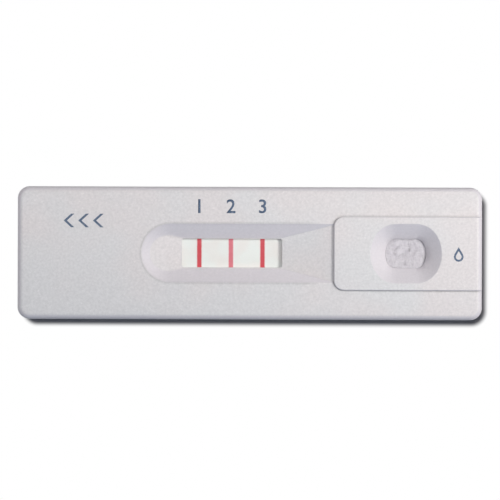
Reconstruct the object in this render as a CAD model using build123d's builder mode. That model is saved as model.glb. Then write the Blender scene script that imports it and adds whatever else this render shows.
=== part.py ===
from build123d import *
import os
from math import atan, degrees

# Lateral flow test cassette: two moulded shells pressed together around a layered test strip.
# Millimetres, +Z up. The origin is the centre of the underside and +X points to the sample well.

# Test strip: layers stuck to a stiff card, with the sample pad at its +X end
strip_width = 5.0
card_thickness = 0.3
membrane_thickness = 0.2
conjugate_thickness = 0.4
sample_thickness = 0.6
absorbent_thickness = 0.8
conjugate_length = 8.0
sample_length = 16.0
absorbent_length = 14.1
pad_overlap = 2.0
pad_bend = 0.6  # run of the slope where a pad steps down from the layer it laps

# Reagent lines, set flush into the membrane's porous layer
line_width = 0.64
line_depth = 0.12
line_inset = 2.69  # from the window's left edge to the first line
line_pitch = 4.76

# Result window, cut through the floor of the recess
window_length = 15.2
window_width = 4.4
window_corner = 0.4
window_land = 0.6  # height of the window's wall
window_draft = 5.0  # slope of that wall, in degrees
window_gap = 0.1  # between the window frame and the membrane
window_to_conjugate = 3.1
frame_wall = 1.5  # plastic round the window, under the recess
absorbent_gap = 0.35  # between the window frame's round end and the absorbent pad

# Boat-shaped recess: round at its tip, hipped ramp up to the sample block
recess_width = 9.0
recess_run = 6.05  # from the window to the tip
tip_depth = 0.75  # depth of the recess's floor at the tip
ramp_length = 7.75  # from the window to the sample block
ramp_step = 0.17  # depth left where the ramp meets the sample block
rim_ledge = 0.08  # flat left between the sloping walls and the window
recess_edge = 0.15  # rounding of the recess's outline
tip_hollow = 0.8  # rounding where the sloping walls meet the floor, round the tip
ramp_hollow = 0.2  # the same along the window and the ramp

# Raised sample block and its well
block_width = 11.1
block_rise = 0.35
block_corner = 1.5
block_edge = 0.2
well_inset = 6.5  # from the strip's sample end to the well's centre
well_diameter = 6.2
well_flats = 4.4  # across the flats on the long sides
well_corner = 1.4  # rounding between the flats and the round ends
well_land = 0.35  # height of the well's steep wall
well_draft = 20.0
funnel_run = 2.15  # how far the funnel slopes out from the well
funnel_edge = 0.2
skirt_wall = 1.3  # plastic round the well, down to the sample pad

# Shells
case_width = 20.0
side_wall = 1.3
end_room = 3.7  # from the strip's ends to the end walls
floor_thickness = 1.2
roof_thickness = 1.2
bed_height = 1.0  # strip bed above the floor
corner_radius = 1.8
inner_corner = 0.8
crown_drop = 0.25  # the top falls this much from the middle to the long sides
top_edge_radius = 0.9
base_edge_radius = 0.5
wall_draft = 2.0
seam_chamfer = 0.12

# Lip of the lower shell inside the upper shell's wall
lip_height = 0.6
lip_thickness = 0.6
lip_clearance = 0.05

# Strip bed: a frame of rails with ribs across it, and bars that press the pads down
strip_clearance = 0.1
rail_thickness = 0.8
rib_thickness = 0.8
rib_count = 9
bar_thickness = 0.8
bar_height = 0.3  # lowest bar under the ceiling
absorbent_bars = 2

# Six-sided posts of both shells: pins of the upper posts are pressed into round sockets of the lower ones
pin_diameter = 1.6  # across the corners
pin_length = 0.9
pin_lead = 0.25
pin_fit = 0.02
socket_gap = 0.1  # under the pin's end
post_diameter = 2.8  # across the corners
post_sides = 6
post_end_inset = 4.5
post_side_inset = 3.2
post_columns = 3

# Heights, from the floor up through the strip to the top
bed_z = floor_thickness + bed_height
parting_z = bed_z
card_z = bed_z + card_thickness
membrane_z = card_z + membrane_thickness
conjugate_z = card_z + conjugate_thickness
conjugate_lap_z = membrane_z + conjugate_thickness
sample_z = card_z + sample_thickness
sample_lap_z = conjugate_z + sample_thickness
absorbent_z = card_z + absorbent_thickness
absorbent_lap_z = membrane_z + absorbent_thickness
ceiling_z = max(sample_lap_z, absorbent_lap_z) + bar_height
case_height = ceiling_z + roof_thickness
side_z = case_height - crown_drop
block_z = case_height + block_rise
frame_z = membrane_z + window_gap
rim_z = frame_z + window_land
ramp_z = case_height - ramp_step
tip_z = case_height - tip_depth
funnel_z = sample_z + well_land

# Places along the strip, from the sample end back to the absorbent end
frame_half_width = window_width / 2 + frame_wall
window_to_absorbent = recess_run - recess_width / 2 + frame_half_width + absorbent_gap
open_length = window_to_absorbent + window_length + window_to_conjugate
strip_length = absorbent_length + open_length + conjugate_length + sample_length - pad_overlap
strip_end = strip_length / 2
sample_start = strip_end - sample_length
conjugate_end = sample_start + pad_overlap
conjugate_start = conjugate_end - conjugate_length
membrane_end = conjugate_start + pad_overlap
window_end = conjugate_start - window_to_conjugate
window_start = window_end - window_length
window_middle = (window_start + window_end) / 2
absorbent_end = window_start - window_to_absorbent
membrane_start = absorbent_end - pad_overlap
line_places = [window_start + line_inset + line * line_pitch for line in range(3)]
recess_tip = window_start - recess_run
recess_round = recess_tip + recess_width / 2
block_start = window_end + ramp_length
recess_end = block_start + block_corner
well_x = strip_end - well_inset

# Outline of the case and of the room inside it
case_length = strip_length + 2 * (end_room + side_wall)
inner_length = case_length - 2 * side_wall
inner_width = case_width - 2 * side_wall
post_pitch = (case_length - 2 * post_end_inset) / (post_columns - 1)
post_spread = case_width - 2 * post_side_inset
lip_reach = lip_thickness + lip_clearance

# Slopes of the recess's side walls and of the funnel, as run over rise
recess_depth = case_height - rim_z
recess_slope = (recess_width / 2 - window_width / 2 - rim_ledge) / recess_depth
funnel_slope = funnel_run / (block_z - funnel_z)
overcut = 0.5  # cutting shapes reach this far past the faces that they open


def boat_outline(half_width):
    """Draw an outline that is round at the tip and runs on under the sample block."""
    with BuildLine() as outline:
        tip = ThreePointArc(
            (recess_round, half_width), (recess_round - half_width, 0), (recess_round, -half_width)
        )
        Polyline(tip @ 1, (strip_end, -half_width), (strip_end, half_width), tip @ 0)
    make_face(outline.edges())


def boat_floor(drop, top_z):
    """Draw the side view of the room above the recess's floor, lowered by a drop."""
    with BuildLine() as outline:
        Polyline(
            (recess_tip - recess_width, top_z),
            (recess_tip - recess_width, tip_z - drop),
            (recess_tip, tip_z - drop),
            (window_start, rim_z - drop),
            (window_end, rim_z - drop),
            (block_start, ramp_z - drop),
            (recess_end, ramp_z - drop),
            (recess_end, top_z),
            close=True,
        )
    make_face(outline.edges())


def flatted_circle(margin):
    """Draw the well's plan, larger all round by a margin."""
    with Locations((well_x, 0)):
        Circle(well_diameter / 2 + margin)
        Rectangle(well_diameter + 2 * margin, well_flats + 2 * margin, mode=Mode.INTERSECT)


def lapped_pad(lap_x, step_x, end_x, lap_z, foot_z, thickness):
    """Draw the side view of a pad that lies on the card and laps the layer beside it."""
    foot_x = step_x + pad_bend * (1 if end_x > step_x else -1)
    with BuildLine() as outline:
        Polyline(
            (lap_x, lap_z),
            (step_x, lap_z),
            (foot_x, foot_z),
            (end_x, foot_z),
            (end_x, foot_z + thickness),
            (foot_x, foot_z + thickness),
            (step_x, lap_z + thickness),
            (lap_x, lap_z + thickness),
            close=True,
        )
    make_face(outline.edges())


# Crowned top shell, still solid
with BuildPart() as crown:
    with BuildSketch(Plane.XY.offset(parting_z)):
        RectangleRounded(case_length, case_width, corner_radius)
    extrude(amount=case_height - parting_z, taper=wall_draft)
    with BuildSketch(Plane.YZ):
        with BuildLine():
            arch = ThreePointArc((-case_width / 2, side_z), (0, case_height), (case_width / 2, side_z))
            Polyline(arch @ 1, (case_width / 2, 0), (-case_width / 2, 0), arch @ 0)
        make_face()
    extrude(amount=case_length, both=True, mode=Mode.INTERSECT)
    fillet(crown.faces().sort_by(Axis.Z)[-1].edges(), top_edge_radius)

# Room of the recess: sloping walls over a floor that rises both ways from the window
with BuildPart() as recess:
    with BuildSketch(Plane.XY.offset(case_height + overcut)):
        boat_outline(recess_width / 2 + overcut * recess_slope)
    extrude(amount=-(recess_depth + overcut), taper=degrees(atan(recess_slope)))
    with BuildSketch(Plane.XZ):
        boat_floor(0, case_height + overcut)
    extrude(amount=case_width, both=True, mode=Mode.INTERSECT)
    for start, end, radius in (
        (recess_tip, window_start, tip_hollow),
        (window_start, block_start, ramp_hollow),
    ):
        foot = recess.edges().filter_by(Axis.Y, reverse=True).filter_by(
            lambda edge: edge.bounding_box().max.Z < case_height and start < edge.center().X < end
        )
        fillet(foot, radius)

# Plastic under the recess that frames the window, its underside level with the floor above it
with BuildPart() as window_frame:
    with BuildSketch(Plane.XY.offset(frame_z)):
        boat_outline(frame_half_width)
    extrude(amount=ceiling_z + overcut - frame_z)
    with BuildSketch(Plane.XZ):
        boat_floor(window_land, ceiling_z + overcut)
    extrude(amount=case_width, both=True, mode=Mode.INTERSECT)
    add(recess.part, mode=Mode.SUBTRACT)

# Raised sample block, its end in line with the case's end wall
with BuildPart() as block:
    with BuildSketch(Plane.XY.offset(parting_z)):
        RectangleRounded(case_length, case_width, corner_radius)
    extrude(amount=block_z - parting_z, taper=wall_draft)
    with BuildSketch(Plane.XY.offset(parting_z)):
        with Locations((block_start, 0)):
            RectangleRounded(case_length, block_width, block_corner, align=(Align.MIN, Align.CENTER))
    extrude(amount=block_z, mode=Mode.INTERSECT)
    top_edges = block.faces().sort_by(Axis.Z)[-1].edges().sort_by(Axis.X)
    fillet(top_edges[-1], top_edge_radius)
    fillet(block.faces().filter_by(Axis.Z).sort_by(Axis.Z)[-1].edges().sort_by(Axis.X)[:-1], block_edge)

# Room of the well: a steep wall above the pad, then a funnel up through the block's top
with BuildPart() as well:
    with BuildSketch(Plane.XY.offset(sample_z)) as plan:
        flatted_circle(0)
        fillet(plan.vertices(), well_corner)
    extrude(amount=well_land, taper=-well_draft)
    mouth = well.faces().sort_by(Axis.Z)[-1]
    extrude(mouth, amount=block_z + overcut - funnel_z, taper=-degrees(atan(funnel_slope)))

with BuildPart() as upper_housing:
    add(crown.part)
    add(recess.part, mode=Mode.SUBTRACT)
    outline = upper_housing.edges().filter_by(
        lambda edge: edge.center().Z > side_z
        and recess_tip - recess_edge < edge.center().X < block_start
        and abs(edge.center().Y) < block_width / 2
    )
    fillet(outline, recess_edge)
    add(block.part)
    with BuildSketch(Plane.XY.offset(parting_z)):
        RectangleRounded(inner_length, inner_width, inner_corner)
    extrude(amount=ceiling_z - parting_z, mode=Mode.SUBTRACT)
    with BuildSketch(Plane.XY.offset(parting_z)):
        RectangleRounded(inner_length + 2 * lip_reach, inner_width + 2 * lip_reach, inner_corner + lip_reach)
    extrude(amount=lip_height + lip_clearance, mode=Mode.SUBTRACT)
    seam = upper_housing.faces().filter_by(Axis.Z).sort_by(Axis.Z)[0].outer_wire().edges()
    chamfer(seam, seam_chamfer)
    add(window_frame.part)
    with BuildSketch(Plane.XY.offset(rim_z)):
        with Locations((window_middle, 0)):
            RectangleRounded(window_length, window_width, window_corner)
    extrude(amount=frame_z - rim_z, taper=window_draft, mode=Mode.SUBTRACT)
    # Well: a skirt down to the sample pad, opened by a steep wall and a funnel
    with BuildSketch(Plane.XY.offset(sample_z)):
        flatted_circle(skirt_wall)
    extrude(amount=ceiling_z - sample_z)
    add(well.part, mode=Mode.SUBTRACT)
    block_top = upper_housing.faces().filter_by(Axis.Z).sort_by(Axis.Z)[-1]
    fillet(block_top.inner_wires()[0].edges(), funnel_edge)
    # Bars across the strip that press the laps and the absorbent pad together
    bar_room = (membrane_start + strip_end) / (absorbent_bars + 1)
    bars = [((membrane_start + absorbent_end) / 2, absorbent_lap_z)]
    bars += [((conjugate_start + membrane_end) / 2, conjugate_lap_z)]
    bars += [((sample_start + conjugate_end) / 2, sample_lap_z)]
    bars += [(bar_room * (bar + 1) - strip_end, absorbent_z) for bar in range(absorbent_bars)]
    for bar_x, bar_z in bars:
        with BuildSketch(Plane.XY.offset(bar_z)):
            with Locations((bar_x, 0)):
                Rectangle(bar_thickness, strip_width)
        extrude(amount=ceiling_z - bar_z)
    # Posts from the ceiling to the seam, each with a pin below it
    with BuildSketch(Plane.XY.offset(parting_z)):
        with GridLocations(post_pitch, post_spread, post_columns, 2):
            RegularPolygon(post_diameter / 2, post_sides)
    extrude(amount=ceiling_z - parting_z)
    with BuildSketch(Plane.XY.offset(parting_z)):
        with GridLocations(post_pitch, post_spread, post_columns, 2):
            RegularPolygon(pin_diameter / 2, post_sides)
    extrude(amount=-pin_length)
    chamfer(upper_housing.faces().group_by(Axis.Z)[0].edges(), pin_lead)

with BuildPart() as lower_housing:
    with BuildSketch(Plane.XY.offset(parting_z)):
        RectangleRounded(case_length, case_width, corner_radius)
    extrude(amount=-parting_z, taper=wall_draft)
    fillet(lower_housing.faces().sort_by(Axis.Z)[0].edges(), base_edge_radius)
    chamfer(lower_housing.faces().sort_by(Axis.Z)[-1].edges(), seam_chamfer)
    with BuildSketch(Plane.XY.offset(floor_thickness)):
        RectangleRounded(inner_length, inner_width, inner_corner)
    extrude(amount=parting_z - floor_thickness, mode=Mode.SUBTRACT)
    with BuildSketch(Plane.XY.offset(parting_z)):
        RectangleRounded(
            inner_length + 2 * lip_thickness, inner_width + 2 * lip_thickness, inner_corner + lip_thickness
        )
        RectangleRounded(inner_length, inner_width, inner_corner, mode=Mode.SUBTRACT)
    extrude(amount=lip_height)
    # Rails round the strip, and ribs that the card lies on
    with BuildSketch(Plane.XY.offset(floor_thickness)):
        rail_room = 2 * (strip_clearance + rail_thickness)
        Rectangle(strip_length + rail_room, strip_width + rail_room)
        Rectangle(strip_length + 2 * strip_clearance, strip_width + 2 * strip_clearance, mode=Mode.SUBTRACT)
    extrude(amount=membrane_z - floor_thickness)
    with BuildSketch(Plane.XY.offset(floor_thickness)):
        with GridLocations(strip_length / rib_count, 0, rib_count, 1):
            Rectangle(rib_thickness, strip_width + 2 * strip_clearance)
    extrude(amount=bed_height)
    # Posts with sockets for the pins
    with BuildSketch(Plane.XY.offset(floor_thickness)):
        with GridLocations(post_pitch, post_spread, post_columns, 2):
            RegularPolygon(post_diameter / 2, post_sides)
    extrude(amount=parting_z - floor_thickness)
    with BuildSketch(Plane.XY.offset(parting_z)):
        with GridLocations(post_pitch, post_spread, post_columns, 2):
            Circle(pin_diameter / 2 + pin_fit)
    extrude(amount=-(pin_length + socket_gap), mode=Mode.SUBTRACT)

with BuildPart() as backing_card:
    with BuildSketch(Plane.XY.offset(bed_z)):
        Rectangle(strip_length, strip_width)
    extrude(amount=card_thickness)

with BuildPart() as membrane:
    with BuildSketch(Plane.XY.offset(card_z)):
        with Locations((membrane_start, 0)):
            Rectangle(membrane_end - membrane_start, strip_width, align=(Align.MIN, Align.CENTER))
    extrude(amount=membrane_thickness)
    with BuildSketch(Plane.XY.offset(membrane_z)):
        with Locations([(line_x, 0) for line_x in line_places]):
            Rectangle(line_width, strip_width)
    extrude(amount=-line_depth, mode=Mode.SUBTRACT)

with BuildPart() as control_line:
    with BuildSketch(Plane.XY.offset(membrane_z)):
        with Locations((line_places[0], 0)):
            Rectangle(line_width, strip_width)
    extrude(amount=-line_depth)

with BuildPart() as reference_line:
    with BuildSketch(Plane.XY.offset(membrane_z)):
        with Locations((line_places[1], 0)):
            Rectangle(line_width, strip_width)
    extrude(amount=-line_depth)

with BuildPart() as test_line:
    with BuildSketch(Plane.XY.offset(membrane_z)):
        with Locations((line_places[2], 0)):
            Rectangle(line_width, strip_width)
    extrude(amount=-line_depth)

with BuildPart() as conjugate_pad:
    with BuildSketch(Plane.XZ):
        lapped_pad(
            conjugate_start, membrane_end, conjugate_end, membrane_z, card_z, conjugate_thickness
        )
    extrude(amount=strip_width / 2, both=True)

with BuildPart() as sample_pad:
    with BuildSketch(Plane.XZ):
        lapped_pad(sample_start, conjugate_end, strip_end, conjugate_z, card_z, sample_thickness)
    extrude(amount=strip_width / 2, both=True)

with BuildPart() as absorbent_pad:
    with BuildSketch(Plane.XZ):
        lapped_pad(
            absorbent_end, membrane_start, -strip_end, membrane_z, card_z, absorbent_thickness
        )
    extrude(amount=strip_width / 2, both=True)

pieces = {
    "upper_housing": upper_housing,
    "lower_housing": lower_housing,
    "backing_card": backing_card,
    "membrane": membrane,
    "control_line": control_line,
    "reference_line": reference_line,
    "test_line": test_line,
    "conjugate_pad": conjugate_pad,
    "sample_pad": sample_pad,
    "absorbent_pad": absorbent_pad,
}
os.makedirs("parts", exist_ok=True)
for name, piece in pieces.items():
    piece.part.label = name
    export_step(piece.part, f"parts/{name}.step")
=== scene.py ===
"""Dress a lateral flow cassette: two moulded shells, the strip inside, printed marks and a studio."""

import logging
import math
from collections.abc import Callable
from dataclasses import dataclass
from enum import Enum
from typing import Any, Union

import bmesh
import bpy
from mathutils import Matrix, Vector, noise
from mathutils.bvhtree import BVHTree

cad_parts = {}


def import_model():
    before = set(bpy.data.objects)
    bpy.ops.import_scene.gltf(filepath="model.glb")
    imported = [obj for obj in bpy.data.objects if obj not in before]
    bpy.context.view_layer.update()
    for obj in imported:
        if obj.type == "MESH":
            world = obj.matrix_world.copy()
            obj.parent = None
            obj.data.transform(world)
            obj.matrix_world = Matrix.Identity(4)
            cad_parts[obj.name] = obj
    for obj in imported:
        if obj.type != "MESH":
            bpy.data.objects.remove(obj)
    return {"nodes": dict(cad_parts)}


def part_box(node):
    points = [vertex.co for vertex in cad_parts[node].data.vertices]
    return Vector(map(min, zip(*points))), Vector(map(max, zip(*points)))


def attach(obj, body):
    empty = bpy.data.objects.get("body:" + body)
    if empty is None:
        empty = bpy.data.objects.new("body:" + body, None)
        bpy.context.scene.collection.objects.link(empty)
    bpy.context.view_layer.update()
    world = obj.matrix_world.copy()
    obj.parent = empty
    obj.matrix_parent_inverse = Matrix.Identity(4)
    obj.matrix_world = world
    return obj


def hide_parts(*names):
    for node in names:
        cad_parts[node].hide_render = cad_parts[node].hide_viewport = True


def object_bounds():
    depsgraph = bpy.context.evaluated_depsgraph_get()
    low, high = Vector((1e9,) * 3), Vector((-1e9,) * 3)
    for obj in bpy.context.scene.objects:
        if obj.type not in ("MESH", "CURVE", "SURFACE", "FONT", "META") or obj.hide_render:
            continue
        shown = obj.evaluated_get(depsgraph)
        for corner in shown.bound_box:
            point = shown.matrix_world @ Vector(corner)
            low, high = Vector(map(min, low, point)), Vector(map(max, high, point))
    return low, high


frame: dict[str, Any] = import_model()
CAD_BOX: tuple[Vector, Vector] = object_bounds()

MM = 0.001
MICRON = 1e-6
BODY = "root"
LOG = logging.getLogger("cassette")

Colour = tuple[float, float, float]
Place = tuple[float, float, float]
Point = tuple[float, float]
Band = tuple[float, float]
Key = Union[int, str]
Number = Union["Value", float]

WHITE: Colour = (1.0, 1.0, 1.0)
NOISE_MEAN = 0.5
FLOAT = "NodeSocketFloat"


def rgba(colour: Colour) -> tuple[float, float, float, float]:
    """Give an opaque colour its alpha."""
    return (*colour, 1.0)


class Value:
    """An output socket. Arithmetic on it adds Math nodes to its tree."""

    def __init__(self, tree: "Tree", socket: bpy.types.NodeSocket) -> None:
        """Keep the tree and the socket."""
        self.tree = tree
        self.socket = socket

    def _math(self, operation: str, first: Number, second: Number = 0.0) -> "Value":
        """Add one Math node.

        Args:
            operation: The node's operation.
            first: Its first number.
            second: Its second number, where it has one.

        Returns:
            The node's result.
        """
        return self.tree.add("ShaderNodeMath", {0: first, 1: second}, {"operation": operation})

    def __add__(self, other: Number) -> "Value":
        """Give the sum."""
        return self._math("ADD", self, other)

    def __radd__(self, other: float) -> "Value":
        """Give the sum with a plain number first."""
        return self._math("ADD", other, self)

    def __sub__(self, other: Number) -> "Value":
        """Give the difference."""
        return self._math("SUBTRACT", self, other)

    def __rsub__(self, other: float) -> "Value":
        """Give the difference from a plain number."""
        return self._math("SUBTRACT", other, self)

    def __mul__(self, other: Number) -> "Value":
        """Give the product."""
        return self._math("MULTIPLY", self, other)

    def __rmul__(self, other: float) -> "Value":
        """Give the product with a plain number first."""
        return self._math("MULTIPLY", other, self)

    def __abs__(self) -> "Value":
        """Give the size without the sign."""
        return self._math("ABSOLUTE", self)

    def root(self) -> "Value":
        """Give the square root."""
        return self._math("SQRT", self)

    def highest(self, other: Number) -> "Value":
        """Give the larger of two numbers."""
        return self._math("MAXIMUM", self, other)

    def step(self, low: Number, high: Number) -> "Value":
        """Rise smoothly from 0 to 1.

        Args:
            low: Where the rise starts.
            high: Where it ends, which may lie below the start.

        Returns:
            The number between 0 and 1.
        """
        sockets = {"Value": self, "From Min": low, "From Max": high}
        return self.tree.add("ShaderNodeMapRange", sockets, {"interpolation_type": "SMOOTHSTEP"})


class Tree:
    """A node tree that is filled node by node."""

    def __init__(self, nodes: bpy.types.NodeTree) -> None:
        """Keep the empty tree."""
        self.nodes = nodes

    def add(
        self, kind: str, sockets: dict[Key, Any], settings: dict[str, Any] | None = None, output: Key = 0
    ) -> Value:
        """Add one node.

        Args:
            kind: The node's type.
            sockets: Values, or links from other nodes, by socket name or index.
            settings: Properties of the node, set before its sockets.
            output: Name or index of the output that is wanted.

        Returns:
            That output.
        """
        node = self.nodes.nodes.new(kind)
        for name, setting in (settings or {}).items():
            setattr(node, name, setting)
        for key, value in sockets.items():
            if isinstance(value, Value):
                self.nodes.links.new(value.socket, node.inputs[key])
            else:
                node.inputs[key].default_value = value
        return Value(self, node.outputs[output] if node.outputs else None)


class Detail(Enum):
    """How many octaves of finer noise a pattern has."""

    SOFT = 1.0
    PLAIN = 2.0
    FINE = 3.0


class Surface(Tree):
    """The node tree of one material, read in Object coordinates."""

    def __init__(self, name: str) -> None:
        """Make an empty material of that name."""
        self.material = bpy.data.materials.new(name)
        self.material.use_nodes = True
        super().__init__(self.material.node_tree)
        self.nodes.nodes.clear()
        self.place = self.add("ShaderNodeTexCoord", {}, output="Object")

    def axis(self, name: str) -> Value:
        """Give one Object coordinate, in metres."""
        return self.add("ShaderNodeSeparateXYZ", {0: self.place}, output=name)

    def box_share(self, middle: float, reach: Point) -> Value:
        """Measure how far out a place is in a box in plan.

        Args:
            middle: The box's centre along the case.
            reach: Half its length and half its width.

        Returns:
            The number: 0 at the centre, 1 on the sides, more outside.
        """
        along = abs(self.axis("X") - middle) * (1 / reach[0])
        return along.highest(abs(self.axis("Y")) * (1 / reach[1]))

    def noise(
        self,
        size: float,
        detail: Detail = Detail.PLAIN,
        stretch: Place = (1.0, 1.0, 1.0),
        shift: Place = (0.0, 0.0, 0.0),
    ) -> Value:
        """Add soft noise.

        Args:
            size: Size of its blotches, in metres.
            detail: How much finer noise it has.
            stretch: Scale along each axis.
            shift: Move of the pattern along each axis, in metres.

        Returns:
            Noise around its mean.
        """
        place = self.add("ShaderNodeMapping", {"Vector": self.place, "Location": shift, "Scale": stretch})
        return self.add("ShaderNodeTexNoise", {"Vector": place, "Scale": 1 / size, "Detail": detail.value})

    def mix(self, factor: Number, first: Any, second: Any) -> Value:
        """Mix two colours.

        Args:
            factor: Share of the second colour.
            first: A colour with alpha, or a link.
            second: A colour with alpha, or a link.

        Returns:
            The mixed colour.
        """
        # The node's colours are its inputs 6 and 7 and its output 2.
        return self.add("ShaderNodeMix", {0: factor, 6: first, 7: second}, {"data_type": "RGBA"}, 2)

    def scaled(self, colour: Value, factor: Number) -> Value:
        """Make a colour lighter or darker."""
        return self.add("ShaderNodeVectorMath", {0: colour, "Scale": factor}, {"operation": "SCALE"})

    def bump(self, height: Value, depth: float) -> Value:
        """Turn a height between 0 and 1 into a normal of that depth in metres."""
        return self.add("ShaderNodeBump", {"Height": height, "Strength": 1.0, "Distance": depth})

    def openness(self, reach: float, samples: int, inside: bool = False) -> Value:
        """Give 1 on plain faces and less near the piece's own corners.

        Args:
            reach: How far from a corner it falls, in metres.
            samples: Rays that feel for the corner.
            inside: Whether it falls at outward edges and not in inward corners.

        Returns:
            The number between 0 and 1.
        """
        settings = {"samples": samples, "only_local": True, "inside": inside}
        return self.add("ShaderNodeAmbientOcclusion", {"Distance": reach}, settings, "AO")

    def done(self, sockets: dict[Key, Any]) -> bpy.types.Material:
        """Close the tree with a Principled shader.

        Args:
            sockets: The shader's values and links.

        Returns:
            The finished material.
        """
        shader = self.add("ShaderNodeBsdfPrincipled", sockets)
        self.add("ShaderNodeOutputMaterial", {"Surface": shader})
        return self.material


@dataclass(frozen=True)
class MouldedPlastic:
    """Matte moulded plastic with an eroded grain, smoother slopes and painted shade on slopes, corners and
    the recess's rim.
    """

    name: str = "moulded_plastic"
    warm: Colour = (0.714, 0.675, 0.668)
    cool: Colour = (0.690, 0.681, 0.680)
    # Painted shade: the darker, bluer tone that sloped faces take.
    slope: Colour = (0.666, 0.634, 0.656)
    slope_attribute: str = "slope"
    slope_calm: float = 0.5  # share of the grain that slopes lack
    drift: float = 11 * MM
    drift_shift: Place = (101.7 * MM, 153.9 * MM, 0.0)
    drift_band: Band = (0.35, 0.65)
    blotch: float = 0.36 * MM
    mottling: float = 0.30
    grain: float = 0.24 * MM
    fleck_grains: float = 1.3  # size of a fleck, in grains
    fleck_band: Band = (0.62, 0.78)
    flecks: float = 0.09
    # Painted shade in inward corners: how dark it gets, how far it reaches and its rays.
    grime: float = 0.65
    grime_reach: float = 0.4 * MM
    grime_samples: int = 12
    # A faint line of painted shade along the outward edges round the recess, kept out of the window:
    rim_shade: float = 0.16
    rim_width: float = 0.45 * MM
    rim_turn: float = 0.03  # share of stopped rays that gives the full line
    rim_samples: int = 32
    rim_slope_loss: float = 0.6  # share of the line that slopes lack
    rim_middle: float = -6 * MM
    rim_field: Point = (17.5 * MM, 7 * MM)  # half the sides of the box that has the line
    rim_fade: Band = (1.0, 0.8)
    window_middle: float = -2.8 * MM
    window_field: Point = (8.8 * MM, 3.2 * MM)  # half the sides of the box that lacks it
    window_fade: Band = (0.9, 1.0)
    grain_depth: float = 5 * MICRON
    grain_relief: float = 0.7
    blotch_relief: float = 0.6
    roughness: float = 0.52
    roughness_swing: float = 0.2
    shine: float = 0.35

    def rim(self, surface: Surface) -> Value:
        """Give where a faint line of painted shade runs along the outward edges round the recess.

        Args:
            surface: The material that asks.

        Returns:
            The number, from 0 to 1.
        """
        near = surface.box_share(self.rim_middle, self.rim_field).step(*self.rim_fade)
        past_window = surface.box_share(self.window_middle, self.window_field).step(*self.window_fade)
        turn = 1.0 - surface.openness(self.rim_width, self.rim_samples, inside=True)
        return turn.step(0.0, self.rim_turn) * near * past_window

    def material(self) -> bpy.types.Material:
        """Build the material.

        Returns:
            The plastic.
        """
        surface = Surface(self.name)
        slope = surface.add("ShaderNodeAttribute", {}, {"attribute_name": self.slope_attribute}, "Fac")
        level = 1.0 - slope * self.slope_calm
        drift = surface.noise(self.drift, Detail.SOFT, shift=self.drift_shift).step(*self.drift_band)
        mottle = surface.noise(self.blotch, Detail.FINE)
        grain = surface.noise(self.grain)
        fleck = surface.noise(self.grain * self.fleck_grains, Detail.SOFT).step(*self.fleck_band)
        tint = surface.mix(drift, rgba(self.warm), rgba(self.cool))
        # Painted shade: sloped faces are darkened and tinted bluer.
        tint = surface.mix(slope, tint, rgba(self.slope))
        # Painted shade: the base colour is darkened in the piece's inward corners.
        grime = (1.0 - surface.openness(self.grime_reach, self.grime_samples)) * self.grime
        # Painted shade: a faint dark line along the outward edges round the recess.
        rim = self.rim(surface) * (1.0 - slope * self.rim_slope_loss) * self.rim_shade
        tint = surface.scaled(tint, 1.0 - grime - rim)
        shade = 1.0 + ((mottle - NOISE_MEAN) * self.mottling + fleck * self.flecks) * level
        relief = (grain * self.grain_relief + mottle * self.blotch_relief) * level
        return surface.done(
            {
                "Base Color": surface.scaled(tint, shade),
                "Roughness": self.roughness + (grain - NOISE_MEAN) * self.roughness_swing,
                "Specular IOR Level": self.shine,
                "Normal": surface.bump(relief, self.grain_depth),
            }
        )


@dataclass(frozen=True)
class Dye:
    """Dye caught along one line: full in the middle, ragged and fading a little past the line's edges."""

    middle: float
    half_width: float
    colour: Colour
    core: float = 0.78  # share of the half width with full dye
    fade: float = 1.34  # share of the half width where the dye ends
    ragged: float = 0.3
    ragged_size: float = 0.25 * MM
    patchiness: float = 0.14
    patch_size: float = 1.3 * MM

    def strength(self, surface: Surface) -> Value:
        """Give how much dye a place holds.

        Args:
            surface: The material that asks.

        Returns:
            The number, from 0 to about 1.
        """
        wander = (surface.noise(self.ragged_size) - NOISE_MEAN) * (self.half_width * self.ragged)
        offset = abs(surface.axis("X") - self.middle) + wander
        held = 1.0 - offset.step(self.half_width * self.core, self.half_width * self.fade)
        return held * (1.0 + (surface.noise(self.patch_size) - NOISE_MEAN) * self.patchiness)


@dataclass(frozen=True)
class PorousMembrane:
    """Creamy porous sheet with faint stains and dyed lines that fade at their edges."""

    dyes: tuple[Dye, ...]
    name: str = "porous_membrane"
    paper: Colour = (0.862, 0.886, 0.842)
    stain: Colour = (0.862, 0.842, 0.796)
    pore: float = 0.14 * MM
    pore_depth: float = 6 * MICRON
    pore_shades: Band = (0.96, 1.04)
    blotch: float = 3.2 * MM
    stain_shift: Place = (42.3 * MM, 27.9 * MM, 0.0)
    stain_band: Band = (0.35, 0.65)
    roughness: float = 0.85
    roughness_swing: float = 0.1
    shine: float = 0.2

    def material(self) -> bpy.types.Material:
        """Build the material.

        Returns:
            The membrane, with the lines in it.
        """
        surface = Surface(self.name)
        pores = surface.noise(self.pore, Detail.FINE)
        stains = surface.noise(self.blotch, Detail.SOFT, shift=self.stain_shift).step(*self.stain_band)
        colour = surface.mix(stains, rgba(self.paper), rgba(self.stain))
        for dye in self.dyes:
            colour = surface.mix(dye.strength(surface), colour, rgba(dye.colour))
        dark, pale = self.pore_shades
        return surface.done(
            {
                "Base Color": surface.scaled(colour, dark + pores * (pale - dark)),
                "Roughness": self.roughness + (pores - NOISE_MEAN) * self.roughness_swing,
                "Specular IOR Level": self.shine,
                "Normal": surface.bump(pores, self.pore_depth),
            }
        )


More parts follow.
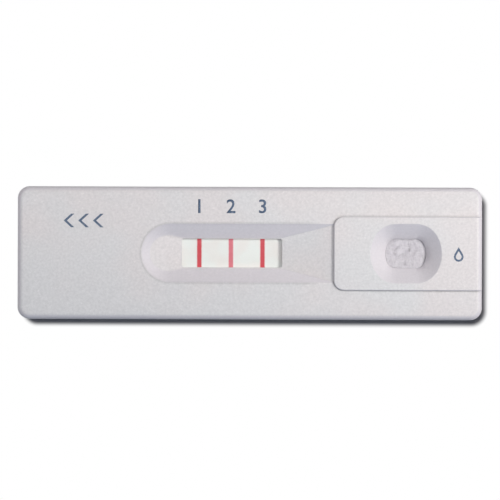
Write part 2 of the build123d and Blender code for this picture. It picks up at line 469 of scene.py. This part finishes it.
@dataclass(frozen=True)
class Felt:
    """Felted fibres of a pad, with streaks of denser and looser fibre."""

    name: str
    pale: Colour
    deep: Colour
    streak: float = 0.16 * MM
    streak_squeeze: float = 0.3  # scale of the noise along the fibres
    streak_share: float = 0.6
    clump: float = 0.7 * MM
    clump_share: float = 0.4
    pale_band: Band = (0.35, 0.68)
    depth: float = 30 * MICRON
    roughness: float = 0.9
    roughness_drop: float = 0.1
    shine: float = 0.25

    def material(self) -> bpy.types.Material:
        """Build the material.

        Returns:
            The felt.
        """
        surface = Surface(self.name)
        along = surface.noise(self.streak, Detail.FINE, (self.streak_squeeze, 1.0, 1.0))
        across = surface.noise(self.streak, Detail.FINE, (1.0, self.streak_squeeze, 1.0))
        clumps = surface.noise(self.clump)
        weave = along.highest(across)
        density = weave * self.streak_share + clumps * self.clump_share
        return surface.done(
            {
                "Base Color": surface.mix(density.step(*self.pale_band), rgba(self.deep), rgba(self.pale)),
                "Roughness": self.roughness - weave * self.roughness_drop,
                "Specular IOR Level": self.shine,
                "Normal": surface.bump(weave, self.depth),
            }
        )


@dataclass(frozen=True)
class SmoothCard:
    """Smooth plastic card under the strip."""

    name: str = "backing_card"
    colour: Colour = (0.84, 0.84, 0.81)
    haze: float = 3 * MM
    haze_shade: float = 0.95
    roughness: float = 0.3
    roughness_rise: float = 0.2

    def material(self) -> bpy.types.Material:
        """Build the material.

        Returns:
            The card.
        """
        surface = Surface(self.name)
        haze = surface.noise(self.haze, Detail.FINE)
        dull = tuple(self.haze_shade * part for part in self.colour)
        shade = surface.mix(haze, rgba(self.colour), rgba(dull))
        return surface.done({"Base Color": shade, "Roughness": self.roughness + haze * self.roughness_rise})


@dataclass(frozen=True)
class PadInk:
    """Slate-blue pad-printed ink, thinner in small spots."""

    name: str = "slate_ink"
    full: Colour = (0.075, 0.115, 0.185)
    thin: Colour = (0.17, 0.21, 0.275)
    spot: float = 0.22 * MM
    thin_band: Band = (0.45, 0.72)
    depth: float = 3 * MICRON
    roughness: float = 0.5
    roughness_swing: float = 0.3
    shine: float = 0.3

    def material(self) -> bpy.types.Material:
        """Build the material.

        Returns:
            The ink.
        """
        surface = Surface(self.name)
        spots = surface.noise(self.spot, Detail.FINE)
        return surface.done(
            {
                "Base Color": surface.mix(spots.step(*self.thin_band), rgba(self.full), rgba(self.thin)),
                "Roughness": self.roughness + (spots - NOISE_MEAN) * self.roughness_swing,
                "Specular IOR Level": self.shine,
                "Normal": surface.bump(spots, self.depth),
            }
        )


class GeometryTree(Tree):
    """A Geometry Nodes tree with named inputs, run as a modifier."""

    def __init__(self, name: str, inputs: dict[str, tuple[str, Any]]) -> None:
        """Make the tree with its geometry sockets and its named inputs.

        Args:
            name: Name of the tree.
            inputs: Socket type and starting value of each input.
        """
        super().__init__(bpy.data.node_groups.new(name, "GeometryNodeTree"))
        face = self.nodes.interface
        face.new_socket("Geometry", in_out="INPUT", socket_type="NodeSocketGeometry")
        face.new_socket("Geometry", in_out="OUTPUT", socket_type="NodeSocketGeometry")
        self.keys: dict[str, str] = {}
        for label, (kind, value) in inputs.items():
            socket = face.new_socket(label, in_out="INPUT", socket_type=kind)
            socket.default_value = value
            self.keys[label] = socket.identifier
        entry = self.nodes.nodes.new("NodeGroupInput")
        self.inputs = {socket.name: Value(self, socket) for socket in entry.outputs if socket.name}

    def close(self, geometry: Value) -> None:
        """Send the result to the tree's output."""
        self.add("NodeGroupOutput", {0: geometry})

    def run_on(self, piece: bpy.types.Object, values: dict[str, Any]) -> bpy.types.Modifier:
        """Put the tree on a piece.

        Args:
            piece: The object to change.
            values: Values of the named inputs.

        Returns:
            The modifier.
        """
        modifier = piece.modifiers.new(self.nodes.name, "NODES")
        modifier.node_group = self.nodes
        for label, value in values.items():
            modifier[self.keys[label]] = value
        return modifier


def new_piece(name: str, mesh: bpy.types.Mesh) -> bpy.types.Object:
    """Put a mesh into the scene.

    Args:
        name: Name of the piece.
        mesh: Its mesh, in place.

    Returns:
        The object, at the origin.
    """
    mesh.name = name
    piece = bpy.data.objects.new(name, mesh)
    bpy.context.scene.collection.objects.link(piece)
    return piece


def plain_mesh(piece: bpy.types.Object) -> bpy.types.Mesh:
    """Give a piece's mesh with its modifiers run.

    Args:
        piece: The object to read.

    Returns:
        A new plain mesh.
    """
    depsgraph = bpy.context.evaluated_depsgraph_get()
    return bpy.data.meshes.new_from_object(piece.evaluated_get(depsgraph))


def welded_copy(node: str) -> bpy.types.Mesh:
    """Copy a CAD node's mesh and join its loose triangles.

    Args:
        node: Name of the node.

    Returns:
        The welded mesh.
    """
    mesh = frame["nodes"][node].data.copy()
    shape = bmesh.new()
    shape.from_mesh(mesh)
    bmesh.ops.remove_doubles(shape, verts=shape.verts, dist=MICRON)
    shape.to_mesh(mesh)
    shape.free()
    return mesh


def dress(piece: bpy.types.Object, material: bpy.types.Material) -> None:
    """Give a piece its one material."""
    piece.data.materials.clear()
    piece.data.materials.append(material)


@dataclass
class Housing:
    """The two moulded shells."""

    shells: tuple[str, ...] = ("upper_housing", "lower_housing")
    weld: float = MICRON
    crisp: float = math.radians(33)
    level_up: float = 0.965  # upward part of a normal that still counts as level
    slope_up: float = 0.87  # upward part of a normal that is all slope
    face_weight: int = 80
    finish: MouldedPlastic = MouldedPlastic()

    def sizes(self) -> dict[str, float]:
        """Give the named sizes of the smoothing tree.

        Returns:
            The sizes by the names of their sockets.
        """
        return {
            "Weld Distance": self.weld,
            "Crisp Angle": self.crisp,
            "Level Up": self.level_up,
            "Slope Up": self.slope_up,
        }

    def smoothing(self) -> GeometryTree:
        """Build the tree that welds loose triangles, smooths all but the crisp edges and marks slopes.

        Returns:
            The tree.
        """
        sizes = {label: (FLOAT, size) for label, size in self.sizes().items()}
        tree = GeometryTree("weld_and_smooth", sizes)
        inputs = tree.inputs
        sockets = {"Geometry": inputs["Geometry"], "Distance": inputs["Weld Distance"]}
        welded = tree.add("GeometryNodeMergeByDistance", sockets)
        sockets = {0: welded, "Shade Smooth": True}
        smooth = tree.add("GeometryNodeSetShadeSmooth", sockets, {"domain": "FACE"})
        angle = tree.add("GeometryNodeInputMeshEdgeAngle", {})
        crisp = tree.add(
            "FunctionNodeCompare",
            {"A": angle, "B": inputs["Crisp Angle"]},
            {"data_type": "FLOAT", "operation": "GREATER_THAN"},
        )
        sockets = {0: smooth, "Selection": crisp, "Shade Smooth": False}
        edged = tree.add("GeometryNodeSetShadeSmooth", sockets, {"domain": "EDGE"})
        up = tree.add("ShaderNodeSeparateXYZ", {0: tree.add("GeometryNodeInputNormal", {})}, output="Z")
        slope = up.step(inputs["Level Up"], inputs["Slope Up"])
        sockets = {"Geometry": edged, "Name": self.finish.slope_attribute, "Value": slope}
        tree.close(tree.add("GeometryNodeStoreNamedAttribute", sockets, {"domain": "FACE"}))
        return tree

    def build(self) -> None:
        """Smooth and dress both shells."""
        tree = self.smoothing()
        plastic = self.finish.material()
        for name in self.shells:
            shell = frame["nodes"][name]
            tree.run_on(shell, self.sizes())
            weighted = shell.modifiers.new("weighted_normal", "WEIGHTED_NORMAL")
            weighted.keep_sharp = True
            weighted.weight = self.face_weight
            dress(shell, plastic)
            LOG.info("dressed %s", name)

    def top(self) -> BVHTree:
        """Give the upper shell's faces for placing print on them.

        Returns:
            The search tree.
        """
        mesh = frame["nodes"][self.shells[0]].data
        corners = [vertex.co.copy() for vertex in mesh.vertices]
        return BVHTree.FromPolygons(corners, [tuple(face.vertices) for face in mesh.polygons])


class PadNode(Enum):
    """The strip's three pads, each with the colours of its fibre."""

    SAMPLE = ("sample_pad", (0.69, 0.665, 0.69), (0.55, 0.525, 0.555))
    CONJUGATE = ("conjugate_pad", (0.78, 0.60, 0.62), (0.66, 0.45, 0.48))
    ABSORBENT = ("absorbent_pad", (0.80, 0.79, 0.78), (0.68, 0.67, 0.66))


@dataclass
class TestStrip:
    """Card, membrane, dyed lines and pads of the strip."""

    strong: Colour = (0.66, 0.093, 0.112)
    faint: Colour = (0.735, 0.212, 0.25)
    voxel: float = 0.1 * MM
    dent: float = 45 * MICRON
    dent_size: float = 0.42 * MM
    dent_calm: float = 0.9  # how much weaker the finer dents are
    dent_step: float = 2.0  # how much finer each octave is
    dent_octaves: int = 3
    dent_mean: float = 0.5
    dent_limit: float = 1.4
    fibre_length: float = 1.5 * MM
    fibre_radius: float = 16 * MICRON
    fibre_bend: float = 0.25 * MM
    fibre_wave: float = 0.16 * MM
    fibre_tilt: float = math.radians(4)
    fibre_scales: Band = (0.45, 1.3)
    fibre_steps: int = 7
    fibre_sides: int = 5
    fibres_per_square_mm: float = 9.0
    fibre_seed: int = 11
    fibre_reach: float = 4.2 * MM
    fibre_ground_up: float = 0.6  # least upward part of the normal below a fibre
    waves_per_mm: float = 1.4
    wave_rise: float = 0.2  # upward share of a fibre's waves
    well_inset: float = 6.5 * MM
    hollow: float = 0.12 * MM
    hollow_reach: Point = (3.45 * MM, 2.55 * MM)
    hollow_power: int = 4
    hollow_rim: float = 0.08  # share of the reach over which the hollow sinks

    def layers(self) -> None:
        """Dress the card, the membrane and the three lines."""
        dress(frame["nodes"]["backing_card"], SmoothCard().material())
        lines = {"control_line": self.strong, "reference_line": self.faint, "test_line": self.strong}
        dyes: dict[str, Dye] = {}
        for name, colour in lines.items():
            low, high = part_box(name)
            dyes[name] = Dye((low.x + high.x) / 2, (high.x - low.x) / 2, colour)
            dress(frame["nodes"][name], PorousMembrane((dyes[name],), name).material())
            LOG.info("dressed %s", name)
        dress(frame["nodes"]["membrane"], PorousMembrane(tuple(dyes.values())).material())
        LOG.info("dressed membrane")

    def well_x(self) -> float:
        """Give where the middle of the well is along the strip."""
        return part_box(PadNode.SAMPLE.value[0])[1].x - self.well_inset

    def hollow_depth(self, place: Vector, well_x: float) -> float:
        """Give how far drops have pressed the sample pad in below the well.

        Args:
            place: A point on the pad's top.
            well_x: Where the middle of the well is along the strip.

        Returns:
            The depth, with a short slope at the hollow's rim.
        """
        power = self.hollow_power
        share_x = (place.x - well_x) / self.hollow_reach[0]
        share_y = place.y / self.hollow_reach[1]
        inside = 1.0 - (share_x**power + share_y**power) ** (1 / power)
        return self.hollow * min(max(inside / self.hollow_rim, 0.0), 1.0)

    def felted(self, pad: PadNode) -> bpy.types.Mesh:
        """Make a pad's fine felted mesh inside its plain solid.

        Args:
            pad: The pad.

        Returns:
            The mesh, in place.
        """
        node = pad.value[0]
        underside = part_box(node)[0].z + self.voxel
        well_x = self.well_x()
        plain = welded_copy(node)
        plain.transform(Matrix.Scale(1 / MM, 4))
        piece = new_piece("felt", plain)
        remesh = piece.modifiers.new("remesh", "REMESH")
        remesh.mode = "VOXEL"
        remesh.voxel_size = self.voxel / MM
        remesh.use_smooth_shade = True
        mesh = plain_mesh(piece)
        bpy.data.objects.remove(piece)
        mesh.transform(Matrix.Scale(MM, 4))
        shape = bmesh.new()
        shape.from_mesh(mesh)
        shape.normal_update()
        for vertex in shape.verts:
            place = vertex.co / self.dent_size
            rough = noise.fractal(place, self.dent_calm, self.dent_step, self.dent_octaves)
            depth = self.dent * min(max(self.dent_mean + rough, 0.0), self.dent_limit)
            pressed = pad is PadNode.SAMPLE and vertex.co.z > underside
            vertex.co -= vertex.normal * depth
            vertex.co.z -= self.hollow_depth(vertex.co, well_x) if pressed else 0.0
        shape.to_mesh(mesh)
        shape.free()
        return mesh

    def fibres(self) -> GeometryTree:
        """Build the tree that lays loose fibres on the pad below the well.

        Returns:
            The tree.
        """
        tree = GeometryTree(
            "loose_fibres",
            {
                "Density": (FLOAT, self.fibres_per_square_mm / MM**2),
                "Seed": ("NodeSocketInt", self.fibre_seed),
                "Length": (FLOAT, self.fibre_length),
                "Radius": (FLOAT, self.fibre_radius),
                "Bend": (FLOAT, self.fibre_bend),
                "Wave": (FLOAT, self.fibre_wave),
                "Tilt": (FLOAT, self.fibre_tilt),
                "Well X": (FLOAT, 0.0),
                "Reach": (FLOAT, self.fibre_reach),
                "Material": ("NodeSocketMaterial", None),
            },
        )
        inputs = tree.inputs
        place = tree.add("GeometryNodeInputPosition", {})
        middle = tree.add("ShaderNodeCombineXYZ", {"X": inputs["Well X"]})
        flat = tree.add("ShaderNodeVectorMath", {0: place, 1: (1, 1, 0)}, {"operation": "MULTIPLY"})
        gap = tree.add("ShaderNodeVectorMath", {0: flat, 1: middle}, {"operation": "DISTANCE"}, "Value")
        facing = tree.add("ShaderNodeSeparateXYZ", {0: tree.add("GeometryNodeInputNormal", {})}, output="Z")
        near = tree.add("FunctionNodeCompare", {"A": gap, "B": inputs["Reach"]}, {"operation": "LESS_THAN"})
        sockets = {"A": facing, "B": self.fibre_ground_up}
        upward = tree.add("FunctionNodeCompare", sockets, {"operation": "GREATER_THAN"})
        shown = tree.add("FunctionNodeBooleanMath", {0: near, 1: upward}, {"operation": "AND"})
        points = tree.add(
            "GeometryNodeDistributePointsOnFaces",
            {
                "Mesh": inputs["Geometry"],
                "Selection": shown,
                "Density": inputs["Density"],
                "Seed": inputs["Seed"],
            },
        )
        half = inputs["Length"] * 0.5
        path = tree.add(
            "GeometryNodeCurveQuadraticBezier",
            {
                "Resolution": self.fibre_steps,
                "Start": tree.add("ShaderNodeCombineXYZ", {"X": half * -1.0}),
                "Middle": tree.add("ShaderNodeCombineXYZ", {"Y": inputs["Bend"]}),
                "End": tree.add("ShaderNodeCombineXYZ", {"X": half}),
            },
        )
        sockets = {"Resolution": self.fibre_sides, "Radius": inputs["Radius"]}
        section = tree.add("GeometryNodeCurvePrimitiveCircle", sockets)
        fibre = tree.add("GeometryNodeCurveToMesh", {0: path, "Profile Curve": section, "Fill Caps": True})
        low = tree.add("ShaderNodeCombineXYZ", {"X": inputs["Tilt"] * -1.0, "Y": inputs["Tilt"] * -1.0})
        high = tree.add("ShaderNodeCombineXYZ", {"X": inputs["Tilt"], "Y": inputs["Tilt"], "Z": math.tau})
        turn = tree.add(
            "FunctionNodeRandomValue",
            {0: low, 1: high, "Seed": inputs["Seed"]},
            {"data_type": "FLOAT_VECTOR"},
        )
        # The node's plain numbers are its inputs 2 and 3 and its output 1.
        smallest, largest = self.fibre_scales
        sockets = {2: smallest, 3: largest, "Seed": inputs["Seed"]}
        size = tree.add("FunctionNodeRandomValue", sockets, {"data_type": "FLOAT"}, 1)
        laid = tree.add(
            "GeometryNodeInstanceOnPoints",
            {"Points": points, "Instance": fibre, "Rotation": turn, "Scale": size},
        )
        real = tree.add("GeometryNodeRealizeInstances", {0: laid})
        sockets = {"Scale": self.waves_per_mm / MM, "Detail": Detail.SOFT.value}
        ripple = tree.add("ShaderNodeTexNoise", sockets, output="Color")
        mean = (NOISE_MEAN, NOISE_MEAN, NOISE_MEAN)
        centred = tree.add("ShaderNodeVectorMath", {0: ripple, 1: mean}, {"operation": "SUBTRACT"})
        sockets = {0: centred, 1: (1, 1, self.wave_rise)}
        level = tree.add("ShaderNodeVectorMath", sockets, {"operation": "MULTIPLY"})
        sockets = {0: level, "Scale": inputs["Wave"]}
        shift = tree.add("ShaderNodeVectorMath", sockets, {"operation": "SCALE"})
        waved = tree.add("GeometryNodeSetPosition", {0: real, "Offset": shift})
        tree.close(tree.add("GeometryNodeSetMaterial", {0: waved, "Material": inputs["Material"]}))
        return tree

    def pads(self) -> None:
        """Replace the plain pads by felted ones, with loose fibres where the well shows them."""
        for pad in PadNode:
            node, pale, deep = pad.value
            felt = Felt(f"{node}_felt", pale, deep).material()
            mesh = self.felted(pad)
            piece = new_piece(f"{node}_felt", mesh)
            dress(piece, felt)
            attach(piece, BODY)
            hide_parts(node)
            LOG.info("built %s", piece.name)
            if pad is PadNode.SAMPLE:
                self.loose_fibres(piece, felt)

    def loose_fibres(self, pad: bpy.types.Object, felt: bpy.types.Material) -> None:
        """Lay loose fibres on a pad, as a piece of their own.

        Args:
            pad: The felted sample pad.
            felt: Its material.
        """
        piece = new_piece("sample_pad_fibres", pad.data.copy())
        modifier = self.fibres().run_on(piece, {"Well X": self.well_x(), "Material": felt})
        mesh = plain_mesh(piece)
        piece.modifiers.remove(modifier)
        piece.data = mesh
        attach(piece, BODY)
        LOG.info("built %s", piece.name)

    def build(self) -> None:
        """Dress the layers and build the pads."""
        self.layers()
        self.pads()


@dataclass
class Markings:
    """Generic print on the upper shell: a number above each line, a row of arrows and a drop."""

    top: BVHTree
    finish: PadInk = PadInk()
    lift: float = 12 * MICRON
    sink: float = 6 * MICRON
    ray_height: float = 1.0
    stroke: float = 0.3 * MM
    digit_height: float = 2.1 * MM
    digit_weight: float = 0.012  # offset of the outline, in the text's own units
    digit_steps: int = 6
    digit_weld: float = 1e-5
    digit_y: float = 7.05 * MM
    arrows_middle: Point = (-25.0 * MM, 4.83 * MM)
    arrow_size: Point = (1.6 * MM, 2.05 * MM)
    arrow_pitch: float = 2.2 * MM
    arrow_count: int = 3
    drop_middle: Point = (31.4 * MM, -0.08 * MM)
    drop_height: float = 2.2 * MM
    drop_radius: float = 0.74 * MM
    arc_steps: int = 8

    def printed(self, name: str, flat: bmesh.types.BMesh, ink: bpy.types.Material) -> None:
        """Lay a flat shape on the shell as a thin film of ink.

        Args:
            name: Name of the piece.
            flat: The shape in plan. It is freed.
            ink: The film's material.
        """
        film = bmesh.ops.extrude_face_region(flat, geom=flat.faces[:])["geom"]
        raised = {vertex for vertex in film if isinstance(vertex, bmesh.types.BMVert)}
        down = Vector((0, 0, -1))
        for vertex in flat.verts:
            above = Vector((vertex.co.x, vertex.co.y, self.ray_height))
            hit = self.top.ray_cast(above, down)[0]
            vertex.co.z = hit.z + (self.lift if vertex in raised else -self.sink)
        bmesh.ops.recalc_face_normals(flat, faces=flat.faces)
        mesh = bpy.data.meshes.new(name)
        flat.to_mesh(mesh)
        flat.free()
        piece = new_piece(name, mesh)
        dress(piece, ink)
        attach(piece, BODY)
        LOG.info("printed %s", name)

    def digit(self, number: int, middle: Point) -> bmesh.types.BMesh:
        """Draw one number in plan.

        Args:
            number: The number.
            middle: Its centre.

        Returns:
            The flat shape.
        """
        text = bpy.data.curves.new("digit", "FONT")
        text.body = str(number)
        text.resolution_u = self.digit_steps
        text.offset = self.digit_weight
        holder = bpy.data.objects.new("digit", text)
        bpy.context.scene.collection.objects.link(holder)
        mesh = plain_mesh(holder)
        bpy.data.objects.remove(holder)
        flat = bmesh.new()
        flat.from_mesh(mesh)
        bmesh.ops.remove_doubles(flat, verts=flat.verts, dist=self.digit_weld)
        xs = [vertex.co.x for vertex in flat.verts]
        ys = [vertex.co.y for vertex in flat.verts]
        scale = self.digit_height / (max(ys) - min(ys))
        for vertex in flat.verts:
            vertex.co.x = middle[0] + (vertex.co.x - (min(xs) + max(xs)) / 2) * scale
            vertex.co.y = middle[1] + (vertex.co.y - (min(ys) + max(ys)) / 2) * scale
        return flat

    def outlined(self, outline: Callable[[float], list[Point]]) -> bmesh.types.BMesh:
        """Draw a closed stroke between an outline and the same outline drawn further in.

        Args:
            outline: Gives the points of the outline at a distance inwards.

        Returns:
            The flat shape.
        """
        flat = bmesh.new()
        outer = [flat.verts.new((*point, 0)) for point in outline(0.0)]
        inner = [flat.verts.new((*point, 0)) for point in outline(self.stroke)]
        for index in range(len(outer)):
            nearby = (index + 1) % len(outer)
            flat.faces.new((outer[index], outer[nearby], inner[nearby], inner[index]))
        return flat

    def arc(self, middle: Point, radius: float, start: float, turn: float) -> list[Point]:
        """Give points along an arc.

        Args:
            middle: The arc's centre.
            radius: Its radius.
            start: Angle of its first point.
            turn: Angle that it covers.

        Returns:
            The points, both ends among them.
        """
        points: list[Point] = []
        for step in range(self.arc_steps + 1):
            angle = start + turn * step / self.arc_steps
            points.append((middle[0] + radius * math.cos(angle), middle[1] + radius * math.sin(angle)))
        return points

    def arrow(self, middle: Point) -> bmesh.types.BMesh:
        """Draw an open arrow head that points away from the sample well.

        Args:
            middle: Its centre.

        Returns:
            The flat shape.
        """
        reach_x, reach_y = self.arrow_size[0] / 2, self.arrow_size[1] / 2
        left, right = middle[0] - reach_x, middle[0] + reach_x
        flat = bmesh.new()
        rise = math.atan2(reach_y, self.arrow_size[0] - self.stroke)
        across = self.stroke / math.sin(rise)
        tip = [flat.verts.new((x, middle[1], 0)) for x in (left, left + across)]
        for side in (-1, 1):
            end_y = middle[1] + side * reach_y
            end = [flat.verts.new((x, end_y, 0)) for x in (right - across, right)]
            corners = [tip[0], tip[1], end[1], end[0]]
            flat.faces.new(corners if side > 0 else corners[::-1])
        return flat

    def drop(self, inset: float) -> list[Point]:
        """Give a drop's outline: a round foot with two straight sides to a tip.

        Args:
            inset: Distance inwards.

        Returns:
            The points, anticlockwise.
        """
        foot_y = self.drop_middle[1] - self.drop_height / 2 + self.drop_radius
        rise = self.drop_height - self.drop_radius
        touch = math.acos(self.drop_radius / rise)
        foot = (self.drop_middle[0], foot_y)
        tip = (foot[0], foot_y + (self.drop_radius - inset) / math.cos(touch))
        start = math.pi / 2 + touch
        return [*self.arc(foot, self.drop_radius - inset, start, math.tau - 2 * touch), tip]

    def build(self) -> None:
        """Print all marks."""
        ink = self.finish.material()
        for number, name in enumerate(("control_line", "reference_line", "test_line"), start=1):
            low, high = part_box(name)
            middle = ((low.x + high.x) / 2, self.digit_y)
            self.printed(f"line_number_{number}", self.digit(number, middle), ink)
        for index in range(self.arrow_count):
            shift = (index - (self.arrow_count - 1) / 2) * self.arrow_pitch
            middle = (self.arrows_middle[0] + shift, self.arrows_middle[1])
            self.printed(f"flow_arrow_{index + 1}", self.arrow(middle), ink)
        self.printed("drop_sign", self.outlined(self.drop), ink)


class Lights(Enum):
    """What a lamp lights, as the floor's state in the lamp's list."""

    ALL_BUT_FLOOR = "EXCLUDE"
    FLOOR_ONLY = "INCLUDE"


@dataclass(frozen=True)
class SoftLamp:
    """A studio lamp with a rectangular face, aimed at the cassette."""

    name: str
    place: Place
    sides: Point
    level: float
    tint: Colour = WHITE


@dataclass
class Studio:
    """Floor, lamps, surroundings and camera."""

    frame_width: float = 75.44 * MM
    seam_height: float = 2.2 * MM
    aim: Point = (0.03 * MM, 0.48 * MM)
    camera_height: float = 0.8
    camera_roll: float = math.radians(0.21)
    sensor: float = 36.0
    floor_side: float = 3.0
    floor_gap: float = 10 * MICRON
    floor_colour: Colour = (0.50, 0.50, 0.50)
    surroundings: Colour = (0.77, 0.81, 1.0)
    surroundings_level: float = 0.112
    shadow_low: Point = (-33.8 * MM, -10.38 * MM)
    shadow_high: Point = (35.22 * MM, 8.9 * MM)
    shadow_corner: float = 1.8 * MM
    shadow_fade: float = 1.0 * MM
    floor_light_tilt: float = math.radians(20)
    floor_light_turn: float = math.radians(135)
    floor_light_spread: float = math.radians(5)
    floor_light_level: float = 0.6
    lamps: tuple[SoftLamp, ...] = (
        SoftLamp("key_lamp", (0.168, 0.01, 0.192), (0.06, 0.06), 0.395, (1.0, 0.985, 0.97)),
        SoftLamp("side_lamp", (0.30, 0.03, 0.10), (0.06, 0.06), 0.03),
        SoftLamp("top_lamp", (0.0, 0.022, 0.065), (0.30, 0.03), 1.25),
        SoftLamp("low_lamp", (-0.02, -0.3, 0.1), (0.15, 0.15), 0.042, (0.45, 0.70, 1.0)),
        SoftLamp("left_lamp", (-0.30, 0.0, 0.037), (0.06, 0.06), 0.010),
    )

    def floor(self) -> bpy.types.Object:
        """Lay a pale floor that is plain white but for the shadow close to the case.

        Returns:
            The floor.
        """
        shape = bmesh.new()
        lowered = Matrix.Translation((0, 0, -self.floor_gap))
        bmesh.ops.create_grid(shape, x_segments=1, y_segments=1, size=self.floor_side / 2, matrix=lowered)
        mesh = bpy.data.meshes.new("floor")
        shape.to_mesh(mesh)
        shape.free()
        floor = new_piece("floor", mesh)
        dress(floor, self.floor_material())
        return floor

    def seen(self, tree: Tree) -> Value:
        """Give 1 for rays that show the background: from the camera, a gloss or through glass.

        Args:
            tree: The node tree that asks.

        Returns:
            The number, 0 or 1.
        """
        rays = ("Is Camera Ray", "Is Glossy Ray", "Is Transmission Ray")
        camera, gloss, glass = (tree.add("ShaderNodeLightPath", {}, output=ray) for ray in rays)
        return camera.highest(gloss).highest(glass)

    def floor_material(self) -> bpy.types.Material:
        """Build the floor's material.

        Returns:
            The material.
        """
        surface = Surface("pale_floor")
        squares: list[Value] = []
        for axis, low, high in zip("XY", self.shadow_low, self.shadow_high):
            reach = (high - low) / 2 - self.shadow_corner
            past = (abs(surface.axis(axis) - (low + high) / 2) - reach).highest(0.0)
            squares.append(past * past)
        past = sum(squares).root() - self.shadow_corner
        white = past.step(0.0, self.shadow_fade) * self.seen(surface)
        plain = surface.add("ShaderNodeBsdfDiffuse", {"Color": rgba(self.floor_colour)})
        bright = surface.add("ShaderNodeEmission", {"Color": rgba(WHITE), "Strength": 1.0})
        shader = surface.add("ShaderNodeMixShader", {0: white, 1: plain, 2: bright})
        surface.add("ShaderNodeOutputMaterial", {"Surface": shader})
        return surface.material

    def link(self, lamp: bpy.types.Object, floor: bpy.types.Object, lights: Lights) -> None:
        """Choose what a lamp lights.

        Args:
            lamp: The lamp.
            floor: The floor.
            lights: Whether the lamp lights the floor alone or all but the floor.
        """
        group = bpy.data.collections.new(f"{lamp.name}_list")
        group.objects.link(floor)
        group.collection_objects[0].light_linking.link_state = lights.value
        lamp.light_linking.receiver_collection = group

    def add_lamp(self, name: str, kind: str, place: Vector, aim: Vector) -> bpy.types.Object:
        """Hang a lamp.

        Args:
            name: Name of the lamp.
            kind: Blender's lamp type.
            place: Where it hangs.
            aim: Where it points.

        Returns:
            The lamp.
        """
        lamp = bpy.data.objects.new(name, bpy.data.lights.new(name, kind))
        lamp.location = place
        lamp.rotation_euler = (aim - place).to_track_quat("-Z", "Y").to_euler()
        lamp.visible_camera = False
        bpy.context.scene.collection.objects.link(lamp)
        return lamp

    def light(self, floor: bpy.types.Object) -> None:
        """Hang the lamps.

        Args:
            floor: The floor.
        """
        aim = Vector((0.0, 0.0, CAD_BOX[1].z))
        for soft in self.lamps:
            place = Vector(soft.place)
            lamp = self.add_lamp(soft.name, "AREA", place, aim)
            lamp.data.shape = "RECTANGLE"
            lamp.data.size, lamp.data.size_y = soft.sides
            lamp.data.color = soft.tint
            reach = (place - aim).length
            # From a small lamp this power lights a white level face at the aim to the level.
            lamp.data.energy = soft.level * math.pi**2 * reach**3 / (place.z - aim.z)
            self.link(lamp, floor, Lights.ALL_BUT_FLOOR)
        slant = math.sin(self.floor_light_tilt)
        turn = self.floor_light_turn
        above = Vector((slant * math.cos(turn), slant * math.sin(turn), math.cos(self.floor_light_tilt)))
        sun = self.add_lamp("floor_lamp", "SUN", above, Vector())
        sun.data.energy = self.floor_light_level * math.pi
        sun.data.angle = self.floor_light_spread
        self.link(sun, floor, Lights.FLOOR_ONLY)

    def surround(self) -> None:
        """Set soft bluish light all round and a white backdrop."""
        world = bpy.data.worlds.new("surroundings")
        world.use_nodes = True
        bpy.context.scene.world = world
        tree = Tree(world.node_tree)
        world.node_tree.nodes.clear()
        dim = {"Color": rgba(self.surroundings), "Strength": self.surroundings_level}
        soft = tree.add("ShaderNodeBackground", dim)
        white = tree.add("ShaderNodeBackground", {"Color": rgba(WHITE), "Strength": 1.0})
        shader = tree.add("ShaderNodeMixShader", {0: self.seen(tree), 1: soft, 2: white})
        tree.add("ShaderNodeOutputWorld", {"Surface": shader})

    def aim_camera(self) -> None:
        """Look straight down, with the seam's outline at its size in the picture."""
        data = bpy.data.cameras.new("camera")
        data.sensor_width = self.sensor
        data.lens = self.sensor * self.camera_height / self.frame_width
        camera = bpy.data.objects.new("camera", data)
        camera.location = (*self.aim, self.seam_height + self.camera_height)
        camera.rotation_euler.z = self.camera_roll
        bpy.context.scene.collection.objects.link(camera)
        bpy.context.scene.camera = camera

    def build(self) -> None:
        """Set up floor, light, surroundings and camera."""
        bpy.context.scene.view_settings.view_transform = "Standard"
        self.light(self.floor())
        self.surround()
        self.aim_camera()
        LOG.info("set up the studio")


def main() -> None:
    """Build and dress the cassette, then set up the studio."""
    logging.basicConfig(level=logging.INFO, format="%(message)s")
    housing = Housing()
    housing.build()
    TestStrip().build()
    Markings(housing.top()).build()
    Studio().build()


if __name__ == "__main__":
    main()
